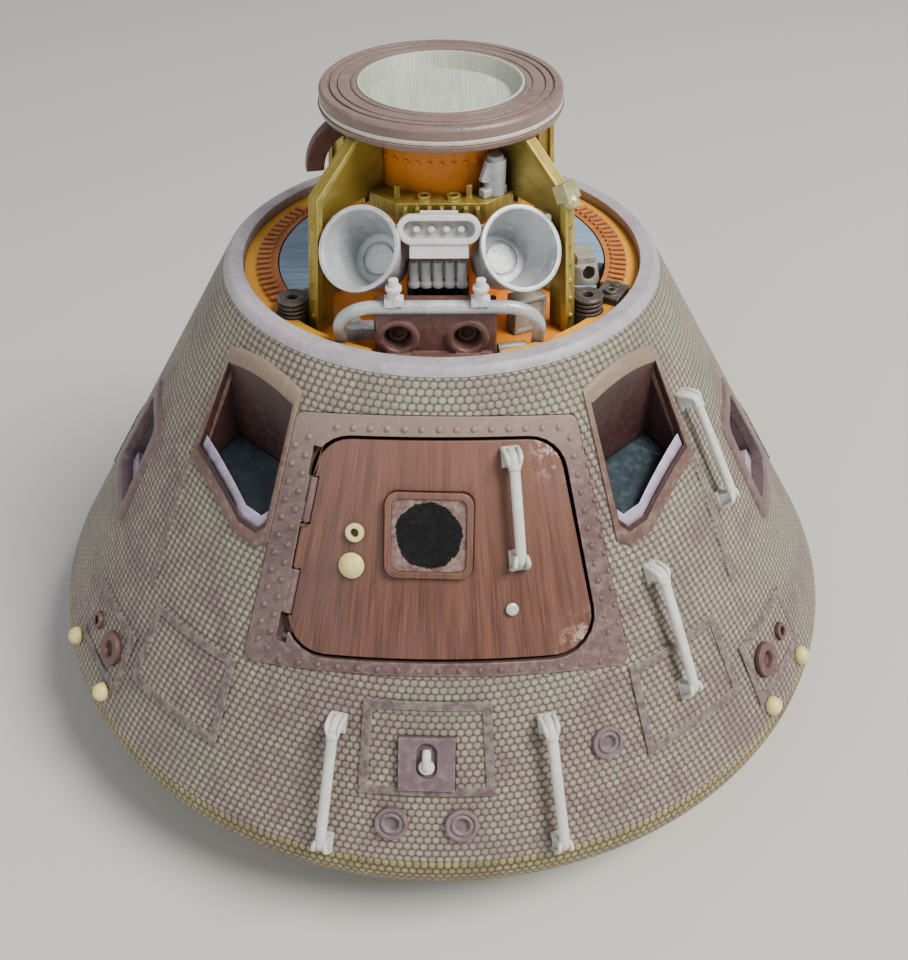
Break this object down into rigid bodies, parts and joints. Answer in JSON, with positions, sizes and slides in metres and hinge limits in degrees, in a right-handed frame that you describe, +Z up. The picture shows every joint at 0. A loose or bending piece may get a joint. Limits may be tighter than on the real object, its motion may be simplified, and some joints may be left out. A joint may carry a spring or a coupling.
{
  "type": "capsule display model",
  "caption": "Conical crew capsule display model with an open nose bay, docking ring, deep windows, handrails and a side hatch that swings open.",
  "frame": {"origin": "centre of the flat foot, on the surface the model stands on", "axes": "+Z up along the cone's axis; the hatch faces -Y; +X is to the right of someone facing the hatch"},
  "size_m": [0.16, 0.16, 0.1222],
  "materials": {
    "skin": "dry, dimpled, weathered paint",
    "dish": "dull gold-olive dimpled paint",
    "screw": "plain",
    "cabin": "plain grey-green paint",
    "couch": "plain sand paint",
    "copper": "brushed brown-copper paint, satin",
    "frame": "mauve-brown worn paint",
    "brass": "plain wire",
    "black_pane": "gloss black",
    "rail": "off-white paint, satin",
    "cream": "cream enamel",
    "recess": "dark maroon paint",
    "sill": "lilac-grey paint",
    "pane": "dark teal gloss",
    "panel": "dimpled paint with worn raised edges",
    "port": "grey-mauve worn paint",
    "jet": "brown worn paint",
    "rim": "lilac-grey paint",
    "orange": "orange satin paint",
    "yellow": "yellow-orange satin paint",
    "fin": "brown-orange worn paint",
    "blue": "brushed pale blue paint",
    "ring_brown": "dark mauve-brown satin paint",
    "seal": "off-white paint",
    "cover": "pale grey-green brushed paint",
    "gold": "metallic gold paint",
    "knee": "pale gold metallic paint",
    "silver": "silver-grey satin paint",
    "white": "white satin paint",
    "dark": "green-black satin paint",
    "maroon": "dark maroon satin paint",
    "grey": "warm grey satin paint",
    "iron": "dark worn metallic paint"
  },
  "bodies": {
    "capsule": {"aft_dish": "dish", "base_screws": "screw", "cabin_floor": "cabin", "cone_shell": "skin", "hatch_frame": "frame", "frame_rivets": "frame", "hinge_pin": "brass", "nose_recess_left": "recess", "nose_recess_right": "recess", "nose_sills": "sill", "window_panes": "pane", "side_frames": "port", "skin_panels": "panel", "under_panel": "panel", "vent_boss": "port", "vent_ports": "port", "thruster_panels": "panel", "thruster_cups": "jet", "antenna_domes": "cream", "skin_rails": "rail", "umbilical_cover": "panel", "couches": "couch", "instrument_panel": "cabin", "deck_rim": "rim", "deck_floor": "orange", "bay_ring": "yellow", "bay_fins": "fin", "blue_panels": "blue", "tunnel": "orange", "docking_ring": "ring_brown", "ring_seal": "seal", "tunnel_cover": "cover", "shelf": "gold", "gussets": "gold", "knee_box": "knee", "arch_fin": "maroon", "mortar_left": "silver", "mortar_right": "silver", "mortar_flanges": "silver", "slot_box": "white", "rib_block": "white", "dark_block": "dark", "loop": "silver", "loop_posts": "white", "nozzle_block": "maroon", "spools": "iron", "spool_plate": "iron", "pump_housing": "grey", "bay_box": "grey", "bay_fittings": "silver", "valve": "silver", "bay_canisters": "grey"},
    "hatch": {"hatch_panel": "copper", "hatch_window_frame": "copper", "hatch_pane": "black_pane", "hatch_liner": "cabin", "hatch_latch": "grey", "hatch_handrail": "rail", "hatch_knobs": "cream"}
  },
  "joints": [
    {"name": "hatch_hinge", "type": "hinge", "parent": "capsule", "child": "hatch", "pos_m": [-0.02263, -0.04874, 0.0654], "axis": [-0.2162, -0.4658, -0.8581], "range_deg": [0, 90]}
  ]
}
